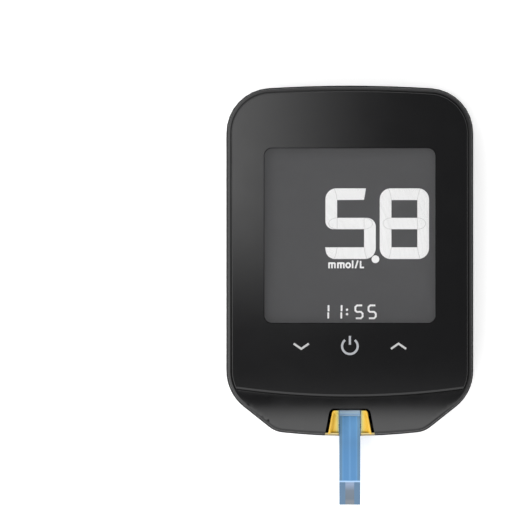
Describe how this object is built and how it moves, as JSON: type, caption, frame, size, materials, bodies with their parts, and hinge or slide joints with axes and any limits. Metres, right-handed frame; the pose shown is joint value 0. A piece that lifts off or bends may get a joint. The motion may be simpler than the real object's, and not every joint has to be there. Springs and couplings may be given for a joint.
{
  "type": "blood glucose meter",
  "caption": "Slim handheld blood glucose meter lying on its back, with a large window display, a row of press keys, a strip port with a test strip and a sliding battery door.",
  "frame": {"origin": "centre of the flat back face, which the meter rests on", "axes": "+Z out of the display, +Y towards the display end with the USB socket, -Y towards the strip port"},
  "size_m": [0.0586, 0.0997, 0.0128],
  "materials": {
    "front_shell": "satin black moulded plastic",
    "panel": "satin black film panel",
    "window": "clear smoked lens",
    "foam": "matt black foam",
    "display_glass": "polished glass",
    "segments": "white display segments",
    "reflector": "silvery grey reflector film",
    "holder": "matt white plastic",
    "tail": "amber polyimide film",
    "socket": "ivory plastic",
    "keys": "satin black plastic",
    "steel": "bright stainless sheet",
    "board": "green solder mask",
    "chips": "matt black package",
    "passives": "fired ceramic",
    "connector": "matt black plastic",
    "port": "golden yellow moulded plastic",
    "gilt": "gold plated spring sheet",
    "rear_shell": "fine textured black plastic",
    "label": "printed grey label, bare",
    "pull_tab": "clear polyester tape",
    "strip_base": "blue polyester sheet",
    "strip_film": "blue printed film",
    "strip_zone": "grey reagent layer"
  },
  "bodies": {
    "housing": {"front_cover": "front_shell", "front_panel": "panel", "display_window": "window", "display_gasket": "foam", "display_front_glass": "display_glass", "display_segments": "segments", "display_rear_glass": "display_glass", "display_reflector": "reflector", "display_holder": "holder", "display_tail": "tail", "display_socket": "socket", "dome_down": "steel", "dome_select": "steel", "dome_up": "steel", "main_board": "board", "microcontroller": "chips", "board_chips": "chips", "board_passives": "passives", "board_screws": "steel", "usb_shell": "steel", "usb_tongue": "connector", "strip_port": "port", "strip_connector": "connector", "strip_contacts": "gilt", "rear_cover": "rear_shell", "rear_label": "label", "case_screws": "steel", "coin_cell": "steel", "battery_pull_tab": "pull_tab", "battery_contact_positive": "gilt", "battery_contact_negative": "gilt"},
    "key_down": {"key_down": "keys"},
    "key_select": {"key_select": "keys"},
    "key_up": {"key_up": "keys"},
    "battery_door": {"battery_door": "rear_shell"},
    "test_strip": {"strip_base": "strip_base", "strip_film": "strip_film", "strip_zone": "strip_zone"}
  },
  "joints": [
    {"name": "press_down", "type": "slide", "parent": "housing", "child": "key_down", "axis": [0, 0, -1], "range_m": [0, 0.00035], "stiffness_N_per_m": 3000, "deforming": ["dome_down"]},
    {"name": "press_select", "type": "slide", "parent": "housing", "child": "key_select", "axis": [0, 0, -1], "range_m": [0, 0.00035], "stiffness_N_per_m": 3000, "deforming": ["dome_select"]},
    {"name": "press_up", "type": "slide", "parent": "housing", "child": "key_up", "axis": [0, 0, -1], "range_m": [0, 0.00035], "stiffness_N_per_m": 3000, "deforming": ["dome_up"]},
    {"name": "door_slide", "type": "slide", "parent": "housing", "child": "battery_door", "axis": [0, 1, 0], "range_m": [0, 0.03]},
    {"name": "strip_slide", "type": "slide", "parent": "housing", "child": "test_strip", "axis": [0, -1, 0], "range_m": [0, 0.0155]}
  ]
}
